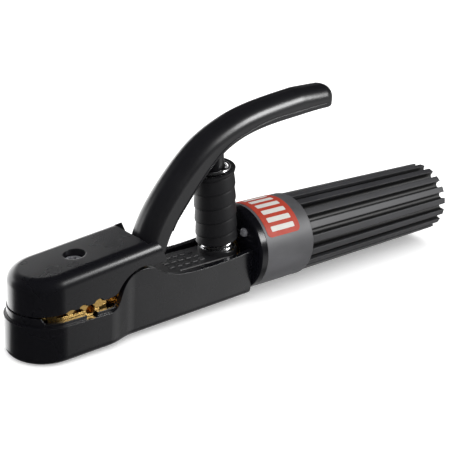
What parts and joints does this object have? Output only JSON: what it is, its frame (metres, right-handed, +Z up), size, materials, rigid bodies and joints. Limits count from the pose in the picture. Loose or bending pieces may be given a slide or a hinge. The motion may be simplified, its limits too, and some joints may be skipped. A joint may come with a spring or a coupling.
{
  "type": "welding electrode holder",
  "caption": "Hand-held arc welding electrode holder with a sprung lever, notched brass jaws, black insulating covers and a ribbed grey handle.",
  "frame": {"origin": "centre of the mouth of the brass cable socket, on the handle's axis", "axes": "+X along the handle's axis and out of its rear, where the cable leaves; the jaws point to -X; +Z up, towards the lever; Y = 0 is the plane of symmetry"},
  "size_m": [0.2512, 0.04, 0.095],
  "materials": {
    "casing_black": "glass-filled moulding with a satin gloss",
    "deck_black": "fine matt moulding",
    "handle_grey": "matt ribbed moulding",
    "lever_black": "semi-gloss moulding",
    "gloss_black": "high gloss moulding",
    "sleeve_rubber": "matt rubber",
    "label_red": "printed film, slightly glossy",
    "brass": "machined brass",
    "bronze": "turned bronze",
    "steel_pin": "turned steel",
    "steel_screw": "zinc-plated steel",
    "spring_steel": "bright spring wire"
  },
  "bodies": {
    "holder": {"lower_casing": "casing_black", "casing_screw": "steel_screw", "deck_insulator": "deck_black", "conductor_body": "brass", "cable_socket": "brass", "cable_clamp_screws": "steel_screw", "handle": "handle_grey", "handle_fixing_screw": "steel_screw", "label": "label_red", "flange_ring": "gloss_black", "flange_screws": "steel_screw", "pivot_pin": "steel_pin", "pin_clips": "steel_pin", "pivot_washers": "steel_pin", "return_spring": "spring_steel", "spring_sleeve": "sleeve_rubber", "spring_seat_washer": "deck_black"},
    "lever": {"hinge_bush": "bronze", "upper_jaw_arm": "brass", "upper_jaw_cover": "casing_black", "cover_screw": "steel_screw", "lever_grip": "lever_black"}
  },
  "joints": [
    {"name": "lever_pivot", "type": "hinge", "parent": "holder", "child": "lever", "pos_m": [-0.101, 0, -0.004], "axis": [0, 1, 0], "range_deg": [0, 18], "stiffness_Nm_per_rad": 4, "springref_deg": -20.05, "deforming": ["return_spring", "spring_sleeve"]}
  ]
}
